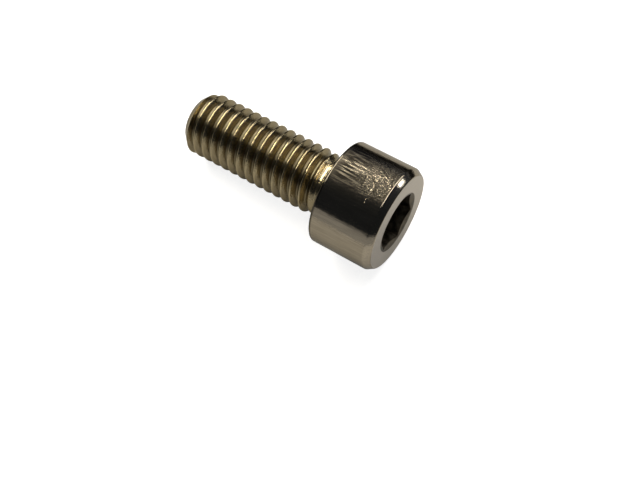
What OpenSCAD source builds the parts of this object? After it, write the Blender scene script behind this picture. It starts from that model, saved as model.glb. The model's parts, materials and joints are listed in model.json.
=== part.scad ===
// Socket head cap screw, M8 x 20, threaded up to the head.
// A forged cylindrical head with a hexagon socket and a rolled coarse thread.
// The screw lies on its side as it comes to rest: the rim under the head and
// the crest nearest the tip touch the plane z = 0, and the tip points to -X.
// Millimetres, +Z up, origin in that plane at the middle of the footprint.

/* [Head] */
// Diameter of the head
head_d = 12.8; // [12.2:0.1:14]
// Height of the head above its bearing face
head_h = 8; // [7.4:0.1:9]
// Length of the bevel round the top of the head, along the axis
top_bevel_h = 0.8; // [0.5:0.1:1.2]
// Width of that bevel, across the axis
top_bevel_w = 0.5; // [0.3:0.1:0.7]
// Radius that eases both edges of the bevel
bevel_edge_r = 0.2; // [0.1:0.05:0.4]
// Radius of the rim round the bearing face
rim_r = 0.3; // [0.1:0.05:0.5]

/* [Socket] */
// Width of the hexagon socket across its flats
socket_af = 6; // [5.6:0.1:6.4]
// Depth of the flat-sided socket below the top of the head
socket_depth = 4.5; // [4.2:0.1:5]
// Height of the cone that the punch leaves below it
socket_cone_h = 0.6; // [0.2:0.1:1]
// Diameter of the round countersink at the mouth
mouth_d = 7.7; // [7.5:0.1:8.4]
// Angle of the countersink from wall to wall
mouth_angle = 110; // [90:5:130]
// Turn of the hexagon about the screw's axis
socket_turn = 28; // [0:1:60]

/* [Shank] */
// Length under the head
shank_len = 20; // [16:0.5:30]
// Diameter of the plain neck between the thread and the head
neck_d = 7.1; // [6.9:0.05:7.3]
// Length of the plain neck
neck_len = 1.2; // [0.8:0.1:2]
// Radius of the fillet between the neck and the head
fillet_r = 0.5; // [0.3:0.05:0.7]
// Diameter of the flat end of the tip
tip_d = 6; // [5.4:0.1:6.2]
// Length of the chamfer at the tip, along the axis
tip_bevel_h = 1; // [0.6:0.1:1.4]

/* [Thread] */
// Diameter over the crests
thread_d = 7.9; // [7.6:0.05:8]
// Distance from one turn to the next
pitch = 1.25; // [1.1:0.05:1.5]
// Depth of the groove
thread_depth = 0.72; // [0.5:0.02:0.78]
// Width of the flat on the crests
crest_w = 0.18; // [0.1:0.02:0.24]
// Width of the flat in the roots
root_w = 0.24; // [0.16:0.02:0.3]
// Turns over which the groove fades out before the neck
runout_turns = 1.2; // [0.8:0.1:1.6]

/* [Hidden] */
round_fn = 96;
arc_steps = 6;
thread_steps = 48;
overlap = 0.2;

head_r = head_d / 2;
neck_r = neck_d / 2;
crest_r = thread_d / 2;
root_r = crest_r - thread_depth;
tip_r = tip_d / 2;

// The outline of the head as [radius, height, corner radius].
// Height 0 is the bearing face, and the tip lies below it.
head_corners = [
    [0, 0, 0],
    [head_r, 0, rim_r],
    [head_r, head_h - top_bevel_h, bevel_edge_r],
    [head_r - top_bevel_w, head_h, bevel_edge_r],
    [0, head_h, 0]
];

function xy(p) = [p[0], p[1]];
function unit(v) = v / norm(v);

// Points of the arc that touches both sides of the corner b.
function corner_arc(a, b, c, r) =
    let (u = unit(a - b), v = unit(c - b))
    let (half = acos(u * v) / 2)
    let (centre = b + unit(u + v) * r / sin(half))
    let (start = b + u * r / tan(half) - centre)
    let (end = b + v * r / tan(half) - centre)
    let (from = atan2(start[1], start[0]))
    let (sweep = (atan2(end[1], end[0]) - from + 540) % 360 - 180)
    [for (i = [0:arc_steps])
        let (t = from + sweep * i / arc_steps)
        centre + r * [cos(t), sin(t)]];

function eased(corners) = [
    for (i = [0:len(corners) - 1])
        let (b = corners[i])
        each b[2] == 0
            ? [xy(b)]
            : corner_arc(xy(corners[i - 1]), xy(b), xy(corners[i + 1]), b[2])
];

head_outline = eased(head_corners);

// The thread's section repeats once a pitch, from crest edge to crest edge.
section = [
    [-crest_w / 2, crest_r],
    [crest_w / 2, crest_r],
    [(pitch - root_w) / 2, root_r],
    [(pitch + root_w) / 2, root_r]
];
corners_per_turn = len(section);
thread_top = -neck_len;
// Under the screw, this is how far the first full crest stands from the tip.
first_crest = tip_bevel_h + crest_w;
row_count = corners_per_turn * (ceil(shank_len / pitch) + 5);
snap = pitch / thread_steps / 2;

function row_z(column, row) =
    let (turn = floor(row / corners_per_turn) - 3)
    let (offset = section[row % corners_per_turn][0])
    -shank_len + first_crest + offset + pitch * (turn + column / thread_steps);

// 1 on the full thread, falling to 0 where the neck begins.
function fade(z) = max(0, min(1, (-neck_len - z) / (runout_turns * pitch)));
function chamfer_r(z) = tip_r + (z + shank_len) * (crest_r - tip_r) / tip_bevel_h;
function thread_r(r, z) = min(neck_r + fade(z) * (r - neck_r), chamfer_r(z));

first_rows = [for (c = [0:thread_steps - 1])
    max([for (r = [0:row_count - 1]) if (row_z(c, r) <= snap - shank_len) r])];
last_rows = [for (c = [0:thread_steps - 1])
    min([for (r = [0:row_count - 1]) if (row_z(c, r) >= thread_top - snap) r])];

function thread_point(column, row) =
    let (low = row <= first_rows[column], high = row >= last_rows[column])
    let (z = low ? -shank_len : high ? thread_top : row_z(column, row))
    let (r = thread_r(section[row % corners_per_turn][1], z))
    let (turn = 360 * column / thread_steps)
    [r * cos(turn), r * sin(turn), z];

// After the last column comes the first again, one turn further up.
function point_index(column, row) =
    let (c = column % thread_steps)
    let (r = row + (column == thread_steps ? corners_per_turn : 0))
    c * row_count + max(first_rows[c], min(last_rows[c], r));

// Rings of the neck and its fillet, the last of them inside the head.
neck_rings = [
    for (t = [0:25:75])
        [neck_r + fillet_r * (1 - cos(t)), fillet_r * (sin(t) - 1)],
    [neck_r + fillet_r, overlap]
];
first_ring = thread_steps * row_count;

function ring_index(column, ring) =
    ring == 0
        ? point_index(column, row_count - 1)
        : first_ring + (ring - 1) * thread_steps + column % thread_steps;

function real_face(f) = f[0] != f[1] && f[1] != f[2] && f[2] != f[0];

module threaded_shank() {
    points = [
        for (c = [0:thread_steps - 1])
            for (r = [0:row_count - 1])
                thread_point(c, r),
        for (ring = neck_rings)
            for (c = [0:thread_steps - 1])
                let (turn = 360 * c / thread_steps)
                [ring[0] * cos(turn), ring[0] * sin(turn), ring[1]]
    ];
    sides = [
        for (c = [0:thread_steps - 1])
            for (r = [0:row_count - 2])
                let (a = point_index(c, r), b = point_index(c, r + 1))
                let (d = point_index(c + 1, r), e = point_index(c + 1, r + 1))
                each [[a, b, e], [a, e, d]],
        for (c = [0:thread_steps - 1])
            for (i = [0:len(neck_rings) - 1])
                let (a = ring_index(c, i), b = ring_index(c, i + 1))
                let (d = ring_index(c + 1, i), e = ring_index(c + 1, i + 1))
                each [[a, b, e], [a, e, d]]
    ];
    tip_face = [for (c = [0:thread_steps - 1]) point_index(c, 0)];
    top_face = [
        for (c = [thread_steps - 1:-1:0])
            ring_index(c, len(neck_rings))
    ];
    faces = [for (f = sides) if (real_face(f)) f];
    polyhedron(points, concat(faces, [tip_face, top_face]));
}

module socket_cut() {
    mouth_r = mouth_d / 2;
    mouth_h = mouth_r / tan(mouth_angle / 2);
    hex_r = socket_af / 2 / cos(30);
    translate([0, 0, head_h - socket_depth])
        rotate([0, 0, socket_turn + 30])
            cylinder(h = socket_depth + 1, r = hex_r, $fn = 6);
    translate([0, 0, head_h - socket_depth - socket_cone_h])
        cylinder(h = socket_cone_h, r1 = 0, r2 = socket_af / 2, $fn = round_fn);
    translate([0, 0, head_h - mouth_h])
        cylinder(h = 2 * mouth_h, r1 = 0, r2 = 2 * mouth_r, $fn = round_fn);
}

module upright_screw() {
    difference() {
        union() {
            rotate_extrude($fn = round_fn)
                polygon(head_outline);
            threaded_shank();
        }
        socket_cut();
    }
}

// The line that the screw lies on passes the crest corner nearest the tip and
// touches the eased rim under the head.
rim_centre = [head_r - rim_r, rim_r];
crest_point = [crest_r, first_crest - crest_w / 2 - shank_len];
span = rim_centre - crest_point;
tilt = atan2(span[0], span[1]) + asin(rim_r / norm(span));
lift = crest_r * cos(tilt) - crest_point[1] * sin(tilt);
front_x = max([for (p = head_outline) p[0] * sin(tilt) + p[1] * cos(tilt)]);
back_x = -shank_len * cos(tilt) - tip_r * sin(tilt);

module screw() {
    color("#b8ad94")
        translate([-(front_x + back_x) / 2, 0, lift])
            rotate([0, 90 - tilt, 0])
                upright_screw();
}

screw();
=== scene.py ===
import json
import math

import bmesh
import bpy
from mathutils import Matrix, Vector


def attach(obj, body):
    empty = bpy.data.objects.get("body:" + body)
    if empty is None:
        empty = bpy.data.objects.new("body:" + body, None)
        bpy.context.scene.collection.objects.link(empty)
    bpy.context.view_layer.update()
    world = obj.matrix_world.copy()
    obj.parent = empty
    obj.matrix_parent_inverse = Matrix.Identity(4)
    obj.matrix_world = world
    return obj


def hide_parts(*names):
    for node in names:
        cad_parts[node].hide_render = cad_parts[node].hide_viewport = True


bl_info = {
    "name": "Socket head cap screw",
    "version": (1, 0, 0),
    "blender": (4, 5, 0),
    "location": "View3D > Sidebar > Screw",
    "description": "Models a nickel plated socket head cap screw with its thread and finish",
    "category": "Object",
}

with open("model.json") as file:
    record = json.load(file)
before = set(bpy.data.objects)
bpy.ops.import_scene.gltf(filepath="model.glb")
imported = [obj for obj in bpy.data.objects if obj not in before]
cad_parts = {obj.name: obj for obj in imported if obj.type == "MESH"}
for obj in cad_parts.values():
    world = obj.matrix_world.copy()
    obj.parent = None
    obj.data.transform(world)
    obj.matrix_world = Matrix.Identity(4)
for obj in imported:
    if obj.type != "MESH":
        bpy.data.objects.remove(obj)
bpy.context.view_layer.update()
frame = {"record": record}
MOUNTS = {mount["name"]: mount for mount in frame["record"]["mounts"]}

MM = 0.001
PIECE = "cap_screw"
NODE = "screw"


def mount_place(name):
    return Vector(MOUNTS[name]["pos_m"])


def mount_size(name, key):
    return MOUNTS[name]["dims"][key] * MM


# The screw's axis runs from the tip towards the head, through the middle of
# the thread and the middle of the socket.
AXIS = -Vector(MOUNTS["thread"]["axis"]).normalized()
HEAD_RADIUS = mount_size("head_side", "r_mm")
THREAD_RADIUS = mount_size("thread", "r_mm")
SOCKET_FLATS = 2 * mount_size("socket", "r_mm")
SOCKET_DEPTH = mount_size("socket", "length_mm")
HEAD_HEIGHT = 8 * MM
BEARING_CENTRE = mount_place("socket") - AXIS * (HEAD_HEIGHT - SOCKET_DEPTH / 2)

SIDE, FACE, SOCKET, THREAD, NECK = range(5)


class ScrewHead(bpy.types.PropertyGroup):
    diameter: bpy.props.FloatProperty(
        name="Diameter", description="Diameter of the head",
        default=2 * HEAD_RADIUS, subtype="DISTANCE", unit="LENGTH", precision=4)
    height: bpy.props.FloatProperty(
        name="Height", description="Height above the bearing face",
        default=HEAD_HEIGHT, subtype="DISTANCE", unit="LENGTH", precision=4)
    bevel_height: bpy.props.FloatProperty(
        name="Bevel height", description="Length of the top bevel along the axis",
        default=0.8 * MM, subtype="DISTANCE", unit="LENGTH", precision=4)
    bevel_width: bpy.props.FloatProperty(
        name="Bevel width", description="Width of the top bevel across the axis",
        default=0.5 * MM, subtype="DISTANCE", unit="LENGTH", precision=4)
    lower_edge: bpy.props.FloatProperty(
        name="Lower bevel edge", description="How far the bevel's lower edge is eased",
        default=0.12 * MM, subtype="DISTANCE", unit="LENGTH", precision=5)
    upper_edge: bpy.props.FloatProperty(
        name="Upper bevel edge", description="How far the bevel's upper edge is eased",
        default=0.111 * MM, subtype="DISTANCE", unit="LENGTH", precision=5)
    rim: bpy.props.FloatProperty(
        name="Rim", description="Radius of the rim round the bearing face",
        default=0.3 * MM, subtype="DISTANCE", unit="LENGTH", precision=4)
    socket_flats: bpy.props.FloatProperty(
        name="Socket", description="Width of the hexagon socket across its flats",
        default=SOCKET_FLATS + 0.14 * MM, subtype="DISTANCE", unit="LENGTH", precision=4)
    socket_depth: bpy.props.FloatProperty(
        name="Socket depth", description="Depth of the flat sides below the face",
        default=SOCKET_DEPTH, subtype="DISTANCE", unit="LENGTH", precision=4)
    socket_cone: bpy.props.FloatProperty(
        name="Socket cone", description="Height of the punched cone below the flats",
        default=0.6 * MM, subtype="DISTANCE", unit="LENGTH", precision=4)
    socket_corner: bpy.props.FloatProperty(
        name="Socket corner", description="How far the socket's inner corners are eased",
        default=0.1 * MM, subtype="DISTANCE", unit="LENGTH", precision=5)
    socket_turn: bpy.props.FloatProperty(
        name="Socket turn", description="Turn of the hexagon about the axis",
        default=math.radians(28), subtype="ANGLE", unit="ROTATION")
    mouth_diameter: bpy.props.FloatProperty(
        name="Mouth", description="Diameter of the countersink at the face",
        default=7.5 * MM, subtype="DISTANCE", unit="LENGTH", precision=4)
    mouth_angle: bpy.props.FloatProperty(
        name="Mouth angle", description="Angle of the countersink from wall to wall",
        default=math.radians(135), subtype="ANGLE", unit="ROTATION")
    fillet: bpy.props.FloatProperty(
        name="Fillet", description="Radius of the fillet between neck and head",
        default=0.5 * MM, subtype="DISTANCE", unit="LENGTH", precision=4)


class ScrewShank(bpy.types.PropertyGroup):
    length: bpy.props.FloatProperty(
        name="Length", description="Length under the head",
        default=20 * MM, subtype="DISTANCE", unit="LENGTH", precision=4)
    diameter: bpy.props.FloatProperty(
        name="Thread diameter", description="Diameter over the crests",
        default=2 * THREAD_RADIUS, subtype="DISTANCE", unit="LENGTH", precision=4)
    pitch: bpy.props.FloatProperty(
        name="Pitch", description="Distance from one turn to the next",
        default=1.25 * MM, subtype="DISTANCE", unit="LENGTH", precision=4)
    depth: bpy.props.FloatProperty(
        name="Groove depth", description="Depth of the groove",
        default=0.72 * MM, subtype="DISTANCE", unit="LENGTH", precision=4)
    crest: bpy.props.FloatProperty(
        name="Crest", description="Width of the crest before its edges are eased",
        default=0.18 * MM, subtype="DISTANCE", unit="LENGTH", precision=4)
    root: bpy.props.FloatProperty(
        name="Root", description="Width of the root before its corners are eased",
        default=0.24 * MM, subtype="DISTANCE", unit="LENGTH", precision=4)
    crest_ease: bpy.props.FloatProperty(
        name="Crest ease", description="How far the crest's edges are eased",
        default=0.07 * MM, subtype="DISTANCE", unit="LENGTH", precision=5)
    root_ease: bpy.props.FloatProperty(
        name="Root ease", description="How far the root's corners are eased",
        default=0.1 * MM, subtype="DISTANCE", unit="LENGTH", precision=5)
    turn: bpy.props.FloatProperty(
        name="Thread turn", description="Turn of the thread about the axis",
        default=0, subtype="ANGLE", unit="ROTATION")
    runout: bpy.props.FloatProperty(
        name="Run-out", description="Length over which the groove fades out",
        default=1.5 * MM, subtype="DISTANCE", unit="LENGTH", precision=4)
    neck_diameter: bpy.props.FloatProperty(
        name="Neck diameter", description="Diameter of the plain neck",
        default=7.1 * MM, subtype="DISTANCE", unit="LENGTH", precision=4)
    neck_length: bpy.props.FloatProperty(
        name="Neck length", description="Length of the plain neck",
        default=1.2 * MM, subtype="DISTANCE", unit="LENGTH", precision=4)
    tip_diameter: bpy.props.FloatProperty(
        name="Tip", description="Diameter of the flat end",
        default=6 * MM, subtype="DISTANCE", unit="LENGTH", precision=4)
    tip_bevel: bpy.props.FloatProperty(
        name="Tip bevel", description="Length of the chamfer at the tip",
        default=1 * MM, subtype="DISTANCE", unit="LENGTH", precision=4)
    steps: bpy.props.IntProperty(
        name="Steps", description="Facets in one turn of the thread",
        default=128, min=24, max=256)


class ScrewFinish(bpy.types.PropertyGroup):
    plate: bpy.props.FloatVectorProperty(
        name="Plate", description="Colour of the bright plate on the head's side",
        subtype="COLOR", size=3, default=(0.40, 0.345, 0.26))
    # Painted light: the face's plate is set lighter than the side's plate.
    face: bpy.props.FloatVectorProperty(
        name="Face", description="Colour of the plate on the flat face",
        subtype="COLOR", size=3, default=(0.6, 0.55, 0.48))
    # Painted shade: the thread's plate is set darker than the side's plate.
    thread: bpy.props.FloatVectorProperty(
        name="Thread", description="Colour of the plate on the thread",
        subtype="COLOR", size=3, default=(0.34, 0.28, 0.17))
    edge_tint: bpy.props.FloatVectorProperty(
        name="Edge tint", description="Tint of the plate where it is seen at a low angle",
        subtype="COLOR", size=3, default=(0.7, 0.69, 0.67))
    roughness: bpy.props.FloatProperty(
        name="Roughness", description="Roughness of the bright plate",
        subtype="FACTOR", default=0.12, min=0, max=1)
    dulling: bpy.props.FloatProperty(
        name="Dulling", description="How much rougher the plate is in streaks and dents",
        subtype="FACTOR", default=0.1, min=0, max=1)
    streak_depth: bpy.props.FloatProperty(
        name="Streak depth", description="Depth of the drawn streaks on the head's side",
        default=0.03 * MM, subtype="DISTANCE", unit="LENGTH", precision=6)
    pit_depth: bpy.props.FloatProperty(
        name="Pit depth", description="Depth of the small dents near the bevel",
        default=0.014 * MM, subtype="DISTANCE", unit="LENGTH", precision=6)


class ScrewStage(bpy.types.PropertyGroup):
    camera_place: bpy.props.FloatVectorProperty(
        name="Camera", description="Where the camera stands",
        subtype="XYZ", size=3, default=(0.026977, -0.038038, 0.102044))
    camera_right: bpy.props.FloatVectorProperty(
        name="Camera right", description="The direction to the right of the frame",
        subtype="XYZ", size=3, default=(0.84176, 0.53982, 0.00611))
    camera_up: bpy.props.FloatVectorProperty(
        name="Camera up", description="The direction up the frame",
        subtype="XYZ", size=3, default=(-0.50463, 0.78275, 0.36419))
    lens: bpy.props.FloatProperty(
        name="Lens", description="Focal length on a 36 mm wide sensor, in millimetres",
        default=51.06)
    floor_size: bpy.props.FloatProperty(
        name="Floor", description="Width of the floor",
        default=6.0, subtype="DISTANCE", unit="LENGTH")
    floor_glow: bpy.props.FloatProperty(
        name="Floor glow", description="How far the floor is lifted to white",
        default=0.85, min=0, max=1)
    mirrored_glow: bpy.props.FloatProperty(
        name="Mirrored glow", description="The same where the floor shows in the plate",
        default=0.14, min=0, max=1)


# ---------------------------------------------------------------- modelling

def start_afresh():
    """Leaves edit mode with nothing selected."""
    if bpy.context.object and bpy.context.object.mode != "OBJECT":
        bpy.ops.object.mode_set(mode="OBJECT")
    bpy.ops.object.select_all(action="DESELECT")


def only(piece):
    start_afresh()
    piece.select_set(True)
    bpy.context.view_layer.objects.active = piece


def pick(piece, kind, test):
    """Selects the faces, edges or vertices that pass the test, in edit mode."""
    bpy.ops.mesh.select_mode(type=kind)
    bpy.ops.mesh.select_all(action="DESELECT")
    mesh = bmesh.from_edit_mesh(piece.data)
    parts = {"VERT": mesh.verts, "EDGE": mesh.edges, "FACE": mesh.faces}[kind]
    count = 0
    for part in parts:
        if test(part):
            part.select_set(True)
            count += 1
    mesh.select_flush_mode()
    bmesh.update_edit_mesh(piece.data)
    if not count:
        raise RuntimeError("nothing to select on " + piece.name)


def edge_ring(radius, z, slack=0.01 * MM):
    """A test for the edges that lie in the ring at that radius and height."""
    def test(edge):
        return all(abs(v.co.z - z) < slack and abs(v.co.xy.length - radius) < slack
                   for v in edge.verts)
    return test


def flat_face(z, slack=0.005 * MM):
    def test(face):
        return abs(face.normal.z) > 0.99 and all(abs(v.co.z - z) < slack for v in face.verts)
    return test


def widen(factor):
    bpy.ops.transform.resize(value=(factor, factor, 1))


def step_out(z_move, factor):
    """Extrudes the picked face along the axis and scales it across the axis."""
    bpy.ops.mesh.extrude_region_move(TRANSFORM_OT_translate={"value": (0, 0, z_move)})
    widen(factor)


def apply_modifier(piece, name):
    only(piece)
    bpy.ops.object.modifier_apply(modifier=name)


def carve(piece, tool, operation):
    """Cuts, joins or intersects the piece with a tool, which is then removed."""
    cut = piece.modifiers.new("cut", "BOOLEAN")
    cut.operation = operation
    cut.object = tool
    cut.solver = "EXACT"
    apply_modifier(piece, "cut")
    bpy.data.objects.remove(tool, do_unlink=True)


def drum(name, radius, bottom, top, sides):
    """A plain cylinder on the axis, the start of a turned form."""
    start_afresh()
    bpy.ops.mesh.primitive_cylinder_add(
        vertices=sides, radius=radius, depth=top - bottom,
        location=(0, 0, (top + bottom) / 2))
    piece = bpy.context.object
    piece.name = name
    bpy.ops.object.transform_apply(location=True, rotation=True, scale=True)
    return piece


def cone(name, bottom_radius, top_radius, bottom, top, sides):
    start_afresh()
    bpy.ops.mesh.primitive_cone_add(
        vertices=sides, radius1=bottom_radius, radius2=top_radius,
        depth=top - bottom, location=(0, 0, (top + bottom) / 2))
    piece = bpy.context.object
    piece.name = name
    bpy.ops.object.transform_apply(location=True, rotation=True, scale=True)
    return piece


def thread_profile(shank, bottom):
    """The section of one pitch as a chain of vertices, with eased corners."""
    crest_r = shank.diameter / 2
    root_r = crest_r - shank.depth
    half = shank.crest / 2
    flank = (shank.pitch - shank.root) / 2
    corners = [
        (crest_r, 0), (crest_r, half), (root_r, flank),
        (root_r, shank.pitch - flank), (crest_r, shank.pitch - half),
        (crest_r, shank.pitch)]
    start_afresh()
    bpy.ops.mesh.primitive_plane_add(size=MM, location=(corners[0][0], 0, bottom))
    chain = bpy.context.object
    chain.name = "thread"
    bpy.ops.object.transform_apply(location=True)
    bpy.ops.object.mode_set(mode="EDIT")
    bpy.ops.mesh.select_all(action="SELECT")
    bpy.ops.mesh.merge(type="CENTER")
    for (r0, z0), (r1, z1) in zip(corners, corners[1:]):
        bpy.ops.mesh.extrude_region_move(
            TRANSFORM_OT_translate={"value": (r1 - r0, 0, z1 - z0)})

    def corner(radius, offsets):
        def test(vert):
            return abs(vert.co.x - radius) < 0.01 * MM and any(
                abs(vert.co.z - bottom - z) < 0.01 * MM for z in offsets)
        return test

    pick(chain, "VERT", corner(crest_r, (half, shank.pitch - half)))
    bpy.ops.mesh.bevel(offset=shank.crest_ease, segments=3, affect="VERTICES")
    pick(chain, "VERT", corner(root_r, (flank, shank.pitch - flank)))
    bpy.ops.mesh.bevel(offset=shank.root_ease, segments=3, affect="VERTICES")
    bpy.ops.object.mode_set(mode="OBJECT")
    return chain


def wind_thread(shank):
    """Winds the profile into a long helix, capped flat at both ends."""
    first_crest = shank.tip_bevel + shank.crest
    bottom = -shank.length + first_crest - 3 * shank.pitch
    turns = math.ceil((shank.length + 5 * shank.pitch) / shank.pitch)
    thread = thread_profile(shank, bottom)
    screw = thread.modifiers.new("wind", "SCREW")
    screw.axis = "Z"
    screw.angle = math.tau
    screw.screw_offset = shank.pitch
    screw.iterations = turns
    screw.steps = screw.render_steps = shank.steps
    screw.use_merge_vertices = False
    apply_modifier(thread, "wind")
    bpy.ops.object.mode_set(mode="EDIT")
    bpy.ops.mesh.select_all(action="SELECT")
    bpy.ops.mesh.remove_doubles(threshold=0.0005 * MM)
    for height, keep_above in ((-shank.length - 0.3 * MM, True), (0.6 * MM, False)):
        bpy.ops.mesh.select_all(action="SELECT")
        bpy.ops.mesh.bisect(
            plane_co=(0, 0, height), plane_no=(0, 0, 1), use_fill=True,
            clear_inner=keep_above, clear_outer=not keep_above, threshold=0.00001 * MM)
    bpy.ops.mesh.select_all(action="SELECT")
    bpy.ops.mesh.normals_make_consistent(inside=False)
    bpy.ops.object.mode_set(mode="OBJECT")
    only(thread)
    thread.rotation_euler = (0, 0, shank.turn)
    bpy.ops.object.transform_apply(rotation=True)
    return thread


def fade_out(thread, shank):
    """Draws the groove out to the neck over the run-out."""
    group = thread.vertex_groups.new(name="runout")
    for vert in thread.data.vertices:
        way = (vert.co.z + shank.neck_length + shank.runout) / shank.runout
        group.add([vert.index], min(1.0, max(0.0, way)), "REPLACE")
    cast = thread.modifiers.new("fade", "CAST")
    cast.cast_type = "CYLINDER"
    cast.use_z = False
    cast.factor = 1
    cast.use_radius_as_size = False
    cast.size = shank.neck_diameter / 2
    cast.vertex_group = "runout"
    apply_modifier(thread, "fade")
    thread.vertex_groups.clear()


def shank_blank(shank):
    """The chamfered bar that the thread is cut from."""
    spare = 0.3 * MM
    tip_r = shank.tip_diameter / 2
    slope = (shank.diameter / 2 - tip_r) / shank.tip_bevel
    height = shank.tip_bevel + spare / slope
    outer = tip_r + slope * height
    blank = drum("blank", outer, -shank.length + height, 0.2 * MM, shank.steps)
    bpy.ops.object.mode_set(mode="EDIT")
    pick(blank, "FACE", flat_face(-shank.length + height))
    step_out(-height, tip_r / outer)
    bpy.ops.object.mode_set(mode="OBJECT")
    return blank


class SCREW_OT_shank(bpy.types.Operator):
    """Model the shank: wind the thread, fade it into the neck and chamfer the tip"""
    bl_idname = "screw.shank"
    bl_label = "Threaded shank"

    def execute(self, context):
        shank = context.scene.screw_shank
        thread = wind_thread(shank)
        fade_out(thread, shank)
        carve(thread, shank_blank(shank), "INTERSECT")
        thread.name = "shank"
        return {"FINISHED"}


def head_form(head, shank):
    """The upset head with its bevel, its rim and the fillet under it."""
    sides = 192
    radius = head.diameter / 2
    piece = drum("head", radius, 0, head.height - head.bevel_height, sides)
    bpy.ops.object.mode_set(mode="EDIT")
    pick(piece, "FACE", flat_face(head.height - head.bevel_height))
    step_out(head.bevel_height, (radius - head.bevel_width) / radius)
    pick(piece, "EDGE", edge_ring(radius, head.height - head.bevel_height))
    bpy.ops.mesh.bevel(offset=head.lower_edge, segments=4, affect="EDGES")
    pick(piece, "EDGE", edge_ring(radius - head.bevel_width, head.height))
    bpy.ops.mesh.bevel(offset=head.upper_edge, segments=4, affect="EDGES")
    pick(piece, "EDGE", edge_ring(radius, 0))
    bpy.ops.mesh.bevel(offset=head.rim, segments=8, affect="EDGES")

    # Down the fillet to a stub that ends just inside the neck.
    neck_r = shank.neck_diameter / 2
    pick(piece, "FACE", flat_face(0))
    bpy.ops.mesh.inset(thickness=radius - head.rim - neck_r - head.fillet)
    reached_r, reached_z = neck_r + head.fillet, 0
    for step in range(1, 7):
        angle = math.radians(15 * step)
        ring_r = neck_r + head.fillet * (1 - math.sin(angle))
        ring_z = -head.fillet * (1 - math.cos(angle))
        step_out(ring_z - reached_z, ring_r / reached_r)
        reached_r, reached_z = ring_r, ring_z
    step_out(-0.1 * MM, (neck_r - 0.03 * MM) / neck_r)
    bpy.ops.object.mode_set(mode="OBJECT")
    return piece


def hexagon_punch(head):
    hex_r = head.socket_flats / 2 / math.cos(math.radians(30))
    punch = drum("punch", hex_r, head.height - head.socket_depth, head.height + MM, 6)
    bpy.ops.object.mode_set(mode="EDIT")
    pick(punch, "EDGE", lambda edge: abs(edge.verts[0].co.z - edge.verts[1].co.z) > MM)
    bpy.ops.mesh.bevel(offset=head.socket_corner, segments=4, affect="EDGES")
    bpy.ops.object.mode_set(mode="OBJECT")
    # A drum's first corner lies on +Y, and so does the flat's normal at 30 degrees.
    punch.rotation_euler = (0, 0, head.socket_turn)
    only(punch)
    bpy.ops.object.transform_apply(rotation=True)
    return punch


class SCREW_OT_head(bpy.types.Operator):
    """Model the head: the bevelled drum, its fillet, the socket and its mouth"""
    bl_idname = "screw.head"
    bl_label = "Head"

    def execute(self, context):
        head = context.scene.screw_head
        piece = head_form(head, context.scene.screw_shank)
        carve(piece, hexagon_punch(head), "DIFFERENCE")
        floor = head.height - head.socket_depth
        point = cone("point", 0, head.socket_flats / 2, floor - head.socket_cone,
                     floor + 0.001 * MM, 96)
        carve(piece, point, "DIFFERENCE")
        slope = 1 / math.tan(head.mouth_angle / 2)
        mouth_r = head.mouth_diameter / 2
        spare = 0.5 * MM
        mouth = cone("mouth", 0, mouth_r + spare, head.height - mouth_r * slope,
                     head.height + spare * slope, 192)
        carve(piece, mouth, "DIFFERENCE")
        return {"FINISHED"}


def place_of(face):
    """The slot of a face, by where it lies on the upright screw."""
    centre = face.center
    radius = centre.xy.length
    if centre.z < -1.2 * MM:
        return THREAD
    if centre.z < 0.01 * MM:
        return NECK
    if radius > 5.84 * MM:
        return SIDE
    if centre.z > 7.98 * MM:
        return FACE
    return SOCKET


class SCREW_OT_body(bpy.types.Operator):
    """Join head and shank, lay the screw on its side and dress it in its plate"""
    bl_idname = "screw.body"
    bl_label = "Whole screw"

    def execute(self, context):
        piece = bpy.data.objects["shank"]
        carve(piece, bpy.data.objects["head"], "UNION")
        piece.name = PIECE
        piece.data.name = PIECE
        only(piece)
        bpy.ops.object.shade_smooth_by_angle(angle=math.radians(32))
        piece.data.materials.clear()
        for material in plate_materials(context.scene.screw_finish):
            piece.data.materials.append(material)
        for face in piece.data.polygons:
            face.material_index = place_of(face)
        even = piece.modifiers.new("even", "WEIGHTED_NORMAL")
        even.keep_sharp = True
        even.weight = 100
        apply_modifier(piece, "even")
        lean = math.atan2(AXIS.x, AXIS.z)
        piece.rotation_euler = (0, lean, 0)
        piece.location = BEARING_CENTRE
        bpy.ops.object.transform_apply(location=True, rotation=True, scale=True)
        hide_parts(NODE)
        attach(piece, "root")
        return {"FINISHED"}


# ---------------------------------------------------------------- materials

class Tree:
    """Lays out the nodes of a material or a group."""

    def __init__(self, nodes_of):
        self.nodes = nodes_of.nodes
        self.links = nodes_of.links

    def add(self, kind, **settings):
        node = self.nodes.new(kind)
        for key, value in settings.items():
            setattr(node, key, value)
        return node

    def join(self, source, target):
        self.links.new(source, target)

    def math(self, operation, *values):
        node = self.add("ShaderNodeMath", operation=operation)
        for socket, value in zip(node.inputs, values):
            if isinstance(value, (int, float)):
                socket.default_value = value
            else:
                self.join(value, socket)
        return node.outputs[0]


def new_group(name, inputs, outputs):
    """An empty node group with named sockets, each given as (name, kind, default)."""
    group = bpy.data.node_groups.new(name, "ShaderNodeTree")
    for direction, sockets in (("INPUT", inputs), ("OUTPUT", outputs)):
        for label, kind, default in sockets:
            socket = group.interface.new_socket(
                name=label, in_out=direction, socket_type="NodeSocket" + kind)
            if default is not None:
                socket.default_value = default
    tree = Tree(group)
    entry = tree.add("NodeGroupInput")
    leave = tree.add("NodeGroupOutput")
    return group, tree, entry.outputs, leave.inputs


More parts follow.
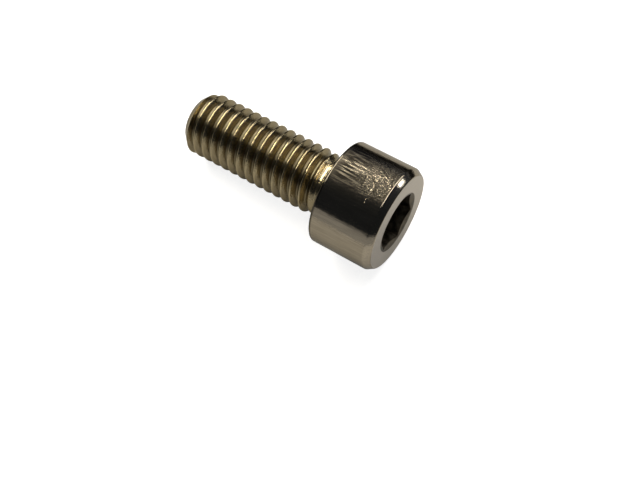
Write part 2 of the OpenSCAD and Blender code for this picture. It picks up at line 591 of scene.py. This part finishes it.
def turned_coordinates():
    """Where a point lies on the turned form: along the axis, round it and out
    from it, all in millimetres, with the way round measured on the head's side."""
    group, tree, given, out = new_group(
        "turned coordinates", [("Point", "Vector", None)],
        [("Along", "Float", None), ("Round", "Float", None), ("Out", "Float", None),
         ("Unrolled", "Vector", None)])
    upright = tree.add("ShaderNodeMapping", vector_type="TEXTURE")
    upright.inputs["Location"].default_value = BEARING_CENTRE
    upright.inputs["Rotation"].default_value = (0, math.atan2(AXIS.x, AXIS.z), 0)
    upright.inputs["Scale"].default_value = (MM, MM, MM)
    tree.join(given["Point"], upright.inputs["Vector"])
    split = tree.add("ShaderNodeSeparateXYZ")
    tree.join(upright.outputs[0], split.inputs[0])
    x, y, z = split.outputs
    # Counted from the top, so that the seam lies underneath.
    angle = tree.math("ARCTAN2", tree.math("MULTIPLY", y, -1), tree.math("MULTIPLY", x, -1))
    around = tree.math("MULTIPLY", angle, HEAD_RADIUS / MM)
    squares = tree.math("ADD", tree.math("MULTIPLY", x, x), tree.math("MULTIPLY", y, y))
    radius = tree.math("SQRT", squares)
    tree.join(z, out["Along"])
    tree.join(around, out["Round"])
    tree.join(radius, out["Out"])
    unrolled = tree.add("ShaderNodeCombineXYZ")
    tree.join(z, unrolled.inputs[0])
    tree.join(around, unrolled.inputs[1])
    tree.join(radius, unrolled.inputs[2])
    tree.join(unrolled.outputs[0], out["Unrolled"])
    return group


def streaks():
    """Fine drawn lines: noise stretched along its first direction."""
    group, tree, given, out = new_group(
        "drawn streaks",
        [("Vector", "Vector", None), ("Stretch", "Float", 12.0), ("Fineness", "Float", 3.0),
         ("Detail", "Float", 3.0)],
        [("Height", "Float", None)])
    squeeze = tree.add("ShaderNodeVectorMath", operation="MULTIPLY")
    tree.join(given["Vector"], squeeze.inputs[0])
    factors = tree.add("ShaderNodeCombineXYZ")
    tree.join(tree.math("DIVIDE", 1.0, given["Stretch"]), factors.inputs[0])
    factors.inputs[1].default_value = 1
    factors.inputs[2].default_value = 1
    tree.join(factors.outputs[0], squeeze.inputs[1])
    noise = tree.add("ShaderNodeTexNoise")
    noise.inputs["Roughness"].default_value = 0.6
    tree.join(squeeze.outputs[0], noise.inputs["Vector"])
    tree.join(given["Fineness"], noise.inputs["Scale"])
    tree.join(given["Detail"], noise.inputs["Detail"])
    tree.join(noise.outputs["Fac"], out["Height"])
    return group


def pitting():
    """A peened skin: small round dents of uneven depth."""
    group, tree, given, out = new_group(
        "pitting",
        [("Vector", "Vector", None), ("Fineness", "Float", 6.0)],
        [("Height", "Float", None)])
    dents = tree.add("ShaderNodeTexVoronoi", feature="SMOOTH_F1")
    dents.inputs["Smoothness"].default_value = 0.6
    tree.join(given["Vector"], dents.inputs["Vector"])
    tree.join(given["Fineness"], dents.inputs["Scale"])
    grit = tree.add("ShaderNodeTexNoise")
    grit.inputs["Detail"].default_value = 4
    grit.inputs["Roughness"].default_value = 0.65
    tree.join(given["Vector"], grit.inputs["Vector"])
    tree.join(tree.math("MULTIPLY", given["Fineness"], 0.8), grit.inputs["Scale"])
    tree.join(tree.math("MULTIPLY", dents.outputs["Distance"], grit.outputs["Fac"]),
              out["Height"])
    return group


def blotches():
    """Cloudy patches between 0 and 1."""
    group, tree, given, out = new_group(
        "blotches",
        [("Vector", "Vector", None), ("Fineness", "Float", 1.0), ("Low", "Float", 0.4),
         ("High", "Float", 0.6)],
        [("Mask", "Float", None)])
    noise = tree.add("ShaderNodeTexNoise")
    noise.inputs["Detail"].default_value = 3
    tree.join(given["Vector"], noise.inputs["Vector"])
    tree.join(given["Fineness"], noise.inputs["Scale"])
    spread = tree.add("ShaderNodeMapRange", clamp=True)
    tree.join(noise.outputs["Fac"], spread.inputs["Value"])
    tree.join(given["Low"], spread.inputs["From Min"])
    tree.join(given["High"], spread.inputs["From Max"])
    tree.join(spread.outputs["Result"], out["Mask"])
    return group


def ring_marks():
    """Hairline marks left round the axis at chosen places along it."""
    group, tree, given, out = new_group(
        "ring mark",
        [("Along", "Float", None), ("Place", "Float", 5.0), ("Width", "Float", 0.04)],
        [("Mask", "Float", None)])
    away = tree.math("ABSOLUTE", tree.math("SUBTRACT", given["Along"], given["Place"]))
    fade = tree.add("ShaderNodeMapRange", clamp=True, interpolation_type="SMOOTHSTEP")
    tree.join(away, fade.inputs["Value"])
    fade.inputs["From Min"].default_value = 0
    tree.join(given["Width"], fade.inputs["From Max"])
    fade.inputs["To Min"].default_value = 1
    fade.inputs["To Max"].default_value = 0
    tree.join(fade.outputs["Result"], out["Mask"])
    return group


class Plate:
    """One plated finish: a material whose nodes are laid out step by step."""

    def __init__(self, name, finish, groups):
        self.material = bpy.data.materials.new(name)
        self.material.use_nodes = True
        self.tree = Tree(self.material.node_tree)
        self.groups = groups
        self.shader = self.tree.nodes["Principled BSDF"]
        self.shader.inputs["Metallic"].default_value = 1
        self.shader.inputs["Specular Tint"].default_value = (*finish.edge_tint, 1)
        where = self.tree.add("ShaderNodeTexCoord")
        self.point = where.outputs["Object"]
        self.turned = self.place("turned", {"Point": self.point})

    def point_mm(self):
        """The point in millimetres, for even grain."""
        node = self.tree.add("ShaderNodeVectorMath", operation="SCALE")
        self.tree.join(self.point, node.inputs[0])
        node.inputs["Scale"].default_value = 1 / MM
        return node.outputs[0]

    def place(self, key, links):
        node = self.tree.add("ShaderNodeGroup")
        node.node_tree = self.groups[key]
        for name, value in links.items():
            if isinstance(value, (int, float)):
                node.inputs[name].default_value = value
            else:
                self.tree.join(value, node.inputs[name])
        return node.outputs

    def ramp(self, value, low, high, start, end):
        node = self.tree.add("ShaderNodeMapRange", clamp=True)
        self.tree.join(value, node.inputs["Value"])
        for name, number in (("From Min", low), ("From Max", high),
                             ("To Min", start), ("To Max", end)):
            node.inputs[name].default_value = number
        return node.outputs["Result"]

    def bump(self, height, depth, normal=None):
        node = self.tree.add("ShaderNodeBump")
        node.inputs["Distance"].default_value = depth
        if isinstance(height, tuple):
            height, strength = height
            self.tree.join(strength, node.inputs["Strength"])
        else:
            node.inputs["Strength"].default_value = 1
        self.tree.join(height, node.inputs["Height"])
        if normal is not None:
            self.tree.join(normal, node.inputs["Normal"])
        return node.outputs["Normal"]

    def blend(self, factor, first, second):
        node = self.tree.add("ShaderNodeMix", data_type="RGBA")
        self.tree.join(factor, node.inputs["Factor"])
        for name, colour in (("A", first), ("B", second)):
            socket = [s for s in node.inputs if s.name == name and s.type == "RGBA"][0]
            if isinstance(colour, bpy.types.NodeSocket):
                self.tree.join(colour, socket)
            else:
                socket.default_value = (*colour, 1)
        return [s for s in node.outputs if s.type == "RGBA"][0]

    def finish(self, colour, roughness, normal):
        self.tree.join(colour, self.shader.inputs["Base Color"])
        self.tree.join(roughness, self.shader.inputs["Roughness"])
        self.tree.join(normal, self.shader.inputs["Normal"])
        return self.material


def shade(colour, factor):
    return tuple(part * factor for part in colour)


def side_finish(finish, groups):
    """The head's side: bright plate with scuffs on top, drawn streaks near the
    bearing face and speckles towards the bevel, whose colour is partly painted
    highlights and painted shade; painted shade along the rim of the bearing face;
    and a hairline ring mark."""
    plate = Plate("nickel_side", finish, groups)
    maths = plate.tree.math
    unrolled, along = plate.turned["Unrolled"], plate.turned["Along"]
    lines = plate.place("streaks", {"Vector": unrolled, "Stretch": 9.0, "Fineness": 4.2})
    hairs = plate.place("streaks", {"Vector": unrolled, "Stretch": 30.0, "Fineness": 9.0})
    specks = plate.place("streaks", {"Vector": unrolled, "Stretch": 1.4, "Fineness": 8.0})
    skin = plate.place("pitting", {"Vector": plate.point_mm(), "Fineness": 10.0})
    cloud = plate.place("blotches", {"Vector": unrolled, "Fineness": 0.7})

    # The patch of scuffs lies to both sides of the top, with a ragged border; its colour
    # carries painted highlights and painted shade.
    ragged = maths("MULTIPLY", maths("SUBTRACT", lines["Height"], 0.5), 3.0)
    away = maths("ABSOLUTE", maths("ADD", plate.turned["Round"], 1.1))
    away = maths("ADD", away, ragged)
    scuffs_and_sheen = plate.ramp(away, 1.9, 3.5, 1.0, 0.0)
    scuffs_and_sheen = maths("MULTIPLY", scuffs_and_sheen, plate.ramp(along, 0.3, 1.2, 0.0, 1.0))
    scuffs_and_sheen = maths("MULTIPLY", scuffs_and_sheen, plate.ramp(along, 7.0, 7.15, 1.0, 0.0))

    line_mask = plate.ramp(lines["Height"], 0.45, 0.64, 0.0, 1.0)
    speck_mask = plate.ramp(specks["Height"], 0.44, 0.62, 0.0, 1.0)
    towards = plate.ramp(along, 2.2, 4.6, 0.0, 1.0)
    pattern = maths("MULTIPLY_ADD", towards, maths("SUBTRACT", speck_mask, line_mask),
                    line_mask)
    # Painted highlights and painted shade: the streaks and specks run from a darkened to a
    # brightened copy of the plate.
    inside = plate.blend(pattern, shade(finish.plate, 0.3), shade(finish.plate, 1.7))
    outside = plate.blend(cloud["Mask"], shade(finish.plate, 0.94), finish.plate)
    outside = plate.blend(plate.ramp(hairs["Height"], 0.38, 0.66, 0.0, 0.6), outside,
                          shade(finish.plate, 0.6))
    colour = plate.blend(scuffs_and_sheen, outside, inside)
    # Painted shade: the plate is darkened along the rim of the bearing face.
    colour = plate.blend(plate.ramp(along, 0.22, 0.42, 0.9, 0.0), colour,
                         shade(finish.plate, 0.1))

    normal = plate.bump((lines["Height"], maths("MULTIPLY_ADD", scuffs_and_sheen, 0.7, 0.3)),
                        finish.streak_depth)
    normal = plate.bump(hairs["Height"], finish.streak_depth * 0.15, normal)
    peened = maths("MULTIPLY", towards, maths("MULTIPLY_ADD", scuffs_and_sheen, 0.85, 0.15))
    normal = plate.bump((skin["Height"], peened), finish.pit_depth, normal)
    ring = plate.place("ring", {"Along": along, "Place": 5.25, "Width": 0.05})
    broken = plate.place("blotches", {"Vector": unrolled, "Fineness": 2.5, "Low": 0.42,
                                      "High": 0.55})
    mark = maths("MULTIPLY", ring["Mask"], broken["Mask"])
    normal = plate.bump(mark, -0.005 * MM, normal)
    dull = maths("MULTIPLY", scuffs_and_sheen, pattern)
    rough = maths("MULTIPLY_ADD", dull, finish.dulling, finish.roughness)
    return plate.finish(colour, rough, normal)


def face_finish(finish, groups):
    """The flat face: an even satin with faint grain and a few rubbed places."""
    plate = Plate("nickel_face", finish, groups)
    grain = plate.place("pitting", {"Vector": plate.point_mm(), "Fineness": 9.0})
    cloud = plate.place("blotches", {"Vector": plate.point_mm(), "Fineness": 0.9})
    normal = plate.bump(grain["Height"], 0.002 * MM)
    # Painted light: the face's colour is a lighter copy of the plate.
    colour = plate.blend(cloud["Mask"], shade(finish.face, 0.95), finish.face)
    rough = plate.ramp(cloud["Mask"], 0, 1, 0.36, 0.42)
    return plate.finish(colour, rough, normal)


def socket_finish(finish, groups):
    """Inside the socket: plate that the punch has left duller and uneven, its colour
    darkened by painted shade.
    """
    plate = Plate("nickel_socket", finish, groups)
    grain = plate.place("pitting", {"Vector": plate.point_mm(), "Fineness": 4.0})
    cloud = plate.place("blotches", {"Vector": plate.point_mm(), "Fineness": 1.2})
    normal = plate.bump(grain["Height"], 0.02 * MM)
    # Painted shade: the socket's colour is a darkened copy of the plate.
    colour = plate.blend(cloud["Mask"], shade(finish.plate, 0.22), shade(finish.plate, 0.42))
    rough = plate.ramp(cloud["Mask"], 0, 1, 0.3, 0.45)
    return plate.finish(colour, rough, normal)


def thread_finish(finish, groups, name):
    """The rolled thread: fine lines along the groove, a duller root darkened by painted
    shade, and lighter crests.
    """
    plate = Plate(name, finish, groups)
    unrolled, out = plate.turned["Unrolled"], plate.turned["Out"]
    turned_way = plate.tree.add("ShaderNodeMapping")
    turned_way.inputs["Rotation"].default_value = (0, 0, math.radians(90))
    plate.tree.join(unrolled, turned_way.inputs["Vector"])
    rolled = plate.place("streaks", {"Vector": turned_way.outputs[0], "Stretch": 16.0,
                                     "Fineness": 7.0})
    skin = plate.place("pitting", {"Vector": plate.point_mm(), "Fineness": 6.0})
    cloud = plate.place("blotches", {"Vector": plate.point_mm(), "Fineness": 1.1})
    normal = plate.bump(rolled["Height"], 0.014 * MM)
    normal = plate.bump(skin["Height"], 0.02 * MM, normal)
    deep = plate.ramp(out, 3.25, 3.6, 1.0, 0.0)
    crest_lift = plate.ramp(out, 3.84, 3.94, 0.0, 1.0)
    # Painted shade: the thread's colour is a darker copy of the plate.
    colour = plate.blend(cloud["Mask"], shade(finish.thread, 0.9), finish.thread)
    # Painted shade: the colour darkens into the root of the groove.
    root_shade = plate.tree.math("MULTIPLY", deep, 0.6)
    colour = plate.blend(root_shade, colour, shade(finish.thread, 0.35))
    # The colour is lighter over the crests.
    colour = plate.blend(crest_lift, colour, shade(finish.thread, 1.15))
    rough = plate.ramp(deep, 0, 1, finish.roughness + 0.06, finish.roughness + 0.16)
    return plate.finish(colour, rough, normal)


def plate_materials(finish):
    groups = {"turned": turned_coordinates(), "streaks": streaks(), "pitting": pitting(),
              "blotches": blotches(), "ring": ring_marks()}
    return [
        side_finish(finish, groups),
        face_finish(finish, groups),
        socket_finish(finish, groups),
        thread_finish(finish, groups, "nickel_thread"),
        thread_finish(finish, groups, "nickel_neck"),
    ]


# -------------------------------------------------------------------- stage

def floor_material(stage):
    material = bpy.data.materials.new("floor_white")
    material.use_nodes = True
    tree = Tree(material.node_tree)
    tree.nodes.clear()
    out = tree.add("ShaderNodeOutputMaterial")
    paint = tree.add("ShaderNodeBsdfDiffuse")
    paint.inputs["Color"].default_value = (0.5, 0.5, 0.5, 1)
    glow = tree.add("ShaderNodeEmission")
    path = tree.add("ShaderNodeLightPath")
    mirrored = tree.math("MAXIMUM", path.outputs["Is Glossy Ray"],
                         path.outputs["Is Transmission Ray"])
    # Painted reflection: the floor that the flat face looks down on glows brighter, in
    # reflections only, so that it shows brighter in the face.
    where = tree.add("ShaderNodeNewGeometry")
    split = tree.add("ShaderNodeSeparateXYZ")
    tree.join(where.outputs["Position"], split.inputs[0])
    ahead = tree.add("ShaderNodeMapRange", clamp=True)
    tree.join(split.outputs["X"], ahead.inputs["Value"])
    ahead.inputs["From Min"].default_value = 0.011
    ahead.inputs["From Max"].default_value = 0.017
    ahead.inputs["To Min"].default_value = 0.7
    ahead.inputs["To Max"].default_value = 1.9
    strength = tree.math("MULTIPLY", mirrored, stage.mirrored_glow)
    strength = tree.math("MULTIPLY", strength, ahead.outputs["Result"])
    strength = tree.math("MULTIPLY_ADD", path.outputs["Is Camera Ray"], stage.floor_glow,
                         strength)
    tree.join(strength, glow.inputs["Strength"])
    both = tree.add("ShaderNodeAddShader")
    tree.join(paint.outputs[0], both.inputs[0])
    tree.join(glow.outputs[0], both.inputs[1])
    tree.join(both.outputs[0], out.inputs["Surface"])
    return material


def area_lamp(name, start, end, width, radiance, colour):
    """A soft lamp from start to end that faces the screw and shows in
    reflections at that radiance."""
    start, end = Vector(start), Vector(end)
    long_way = (end - start).normalized()
    middle = (start + end) / 2
    back = middle.normalized()
    back = (back - back.dot(long_way) * long_way).normalized()
    across = back.cross(long_way)
    start_afresh()
    bpy.ops.object.light_add(type="AREA")
    lamp = bpy.context.object
    lamp.name = name
    lamp.matrix_world = Matrix.Translation(middle) @ Matrix(
        (long_way, across, back)).transposed().to_4x4()
    lamp.data.shape = "RECTANGLE"
    lamp.data.size = (end - start).length
    lamp.data.size_y = width
    lamp.data.energy = radiance * math.pi * lamp.data.size * width
    lamp.data.color = colour
    return lamp


def dim_world():
    """A dark room: cool on the far side, nearly black on the near side."""
    world = bpy.data.worlds.new("studio")
    bpy.context.scene.world = world
    world.use_nodes = True
    tree = Tree(world.node_tree)
    back = tree.nodes["Background"]
    where = tree.add("ShaderNodeTexCoord")
    split = tree.add("ShaderNodeSeparateXYZ")
    tree.join(where.outputs["Generated"], split.inputs[0])
    side = tree.add("ShaderNodeMapRange", clamp=True)
    tree.join(split.outputs["Y"], side.inputs["Value"])
    side.inputs["From Min"].default_value = -0.2
    side.inputs["From Max"].default_value = 0.8
    mix = tree.add("ShaderNodeMix", data_type="RGBA")
    tree.join(side.outputs["Result"], mix.inputs["Factor"])
    colours = [socket for socket in mix.inputs if socket.type == "RGBA"]
    colours[0].default_value = (0.02, 0.023, 0.028, 1)
    colours[1].default_value = (0.055, 0.062, 0.08, 1)
    result = [socket for socket in mix.outputs if socket.type == "RGBA"][0]
    tree.join(result, back.inputs["Color"])


def upright_card(name, start, end, height, grey):
    """A card that stands on the floor from start to end, glows at that grey and
    shows only in the plate's reflections: a painted reflection."""
    along = Vector((end[0] - start[0], end[1] - start[1], 0))
    start_afresh()
    bpy.ops.mesh.primitive_plane_add(
        size=1, location=((start[0] + end[0]) / 2, (start[1] + end[1]) / 2, height / 2),
        rotation=(math.radians(90), 0, math.atan2(along.y, along.x)))
    card = bpy.context.object
    card.name = name
    card.scale = (along.length, height, 1)
    material = bpy.data.materials.new(name)
    material.use_nodes = True
    tree = Tree(material.node_tree)
    tree.nodes.clear()
    out = tree.add("ShaderNodeOutputMaterial")
    path = tree.add("ShaderNodeLightPath")
    clear = tree.add("ShaderNodeBsdfTransparent")
    glow = tree.add("ShaderNodeEmission")
    glow.inputs["Color"].default_value = (grey, grey, grey, 1)
    either = tree.add("ShaderNodeMixShader")
    tree.join(path.outputs["Is Glossy Ray"], either.inputs["Fac"])
    tree.join(clear.outputs[0], either.inputs[1])
    tree.join(glow.outputs[0], either.inputs[2])
    tree.join(either.outputs[0], out.inputs["Surface"])
    card.data.materials.append(material)
    return card


class SCREW_OT_stage(bpy.types.Operator):
    """Set the floor, the lamps and the camera round the screw"""
    bl_idname = "screw.stage"
    bl_label = "Stage"

    def execute(self, context):
        stage = context.scene.screw_stage
        start_afresh()
        bpy.ops.mesh.primitive_plane_add(size=stage.floor_size, location=(0, 0, 0))
        floor = bpy.context.object
        floor.name = "floor"
        floor.data.materials.append(floor_material(stage))

        dim_world()
        area_lamp("soft_panel", (-0.1, 0.0, 0.325), (-0.1, 0.473, 0.155), 0.42,
                  0.19, (1.0, 0.95, 0.8))
        area_lamp("window", (-0.264, -0.08, 0.285), (-0.2, 0.284, 0.199), 0.07,
                  20.0, (1.0, 0.96, 0.84))
        area_lamp("pane", (-0.17, 0.22, 0.29), (-0.17, 0.3, 0.2), 0.03,
                  0.4, (1.0, 0.96, 0.86))
        area_lamp("edge_strip", (0.066, -0.056, 0.39), (0.03, 0.38, 0.124), 0.024,
                  10.0, (1.0, 0.98, 0.94))
        area_lamp("glint", (0.21, 0.27, 0.205), (0.186, 0.33, 0.135), 0.036,
                  11.0, (0.96, 0.98, 1.0))
        upright_card("near_card", (-0.15, -0.065), (0.12, -0.065), 0.0245, 0.44)
        upright_card("far_card", (-0.2, 0.033), (0.2, 0.033), 0.0115, 0.012)

        right = Vector(stage.camera_right)
        up = Vector(stage.camera_up)
        back = right.cross(up)
        bpy.ops.object.camera_add()
        camera = bpy.context.object
        camera.name = "camera"
        camera.matrix_world = Matrix.Translation(Vector(stage.camera_place)) @ Matrix(
            (right, up, back)).transposed().to_4x4()
        camera.data.sensor_width = 36
        camera.data.lens = stage.lens
        camera.data.clip_start = 0.005
        context.scene.camera = camera
        context.scene.view_settings.view_transform = "Standard"
        return {"FINISHED"}


class SCREW_PT_panel(bpy.types.Panel):
    """The steps that make the screw, and their sizes"""
    bl_idname = "SCREW_PT_panel"
    bl_label = "Cap screw"
    bl_space_type = "VIEW_3D"
    bl_region_type = "UI"
    bl_category = "Screw"

    def draw(self, context):
        layout = self.layout
        for title, group in (("Head", context.scene.screw_head),
                             ("Shank", context.scene.screw_shank),
                             ("Finish", context.scene.screw_finish),
                             ("Stage", context.scene.screw_stage)):
            box = layout.box()
            box.label(text=title)
            for name in group.bl_rna.properties.keys():
                if name not in ("rna_type", "name"):
                    box.prop(group, name)
        for operator in OPERATORS:
            layout.operator(operator.bl_idname)


GROUPS = {
    "screw_head": ScrewHead,
    "screw_shank": ScrewShank,
    "screw_finish": ScrewFinish,
    "screw_stage": ScrewStage,
}
OPERATORS = (SCREW_OT_shank, SCREW_OT_head, SCREW_OT_body, SCREW_OT_stage)


def register():
    for name, group in GROUPS.items():
        bpy.utils.register_class(group)
        setattr(bpy.types.Scene, name, bpy.props.PointerProperty(type=group))
    for made in (*OPERATORS, SCREW_PT_panel):
        bpy.utils.register_class(made)


def unregister():
    for made in (SCREW_PT_panel, *reversed(OPERATORS)):
        bpy.utils.unregister_class(made)
    for name, group in reversed(GROUPS.items()):
        delattr(bpy.types.Scene, name)
        bpy.utils.unregister_class(group)


def main():
    register()
    bpy.ops.screw.shank()
    bpy.ops.screw.head()
    bpy.ops.screw.body()
    bpy.ops.screw.stage()


if __name__ == "__main__":
    main()
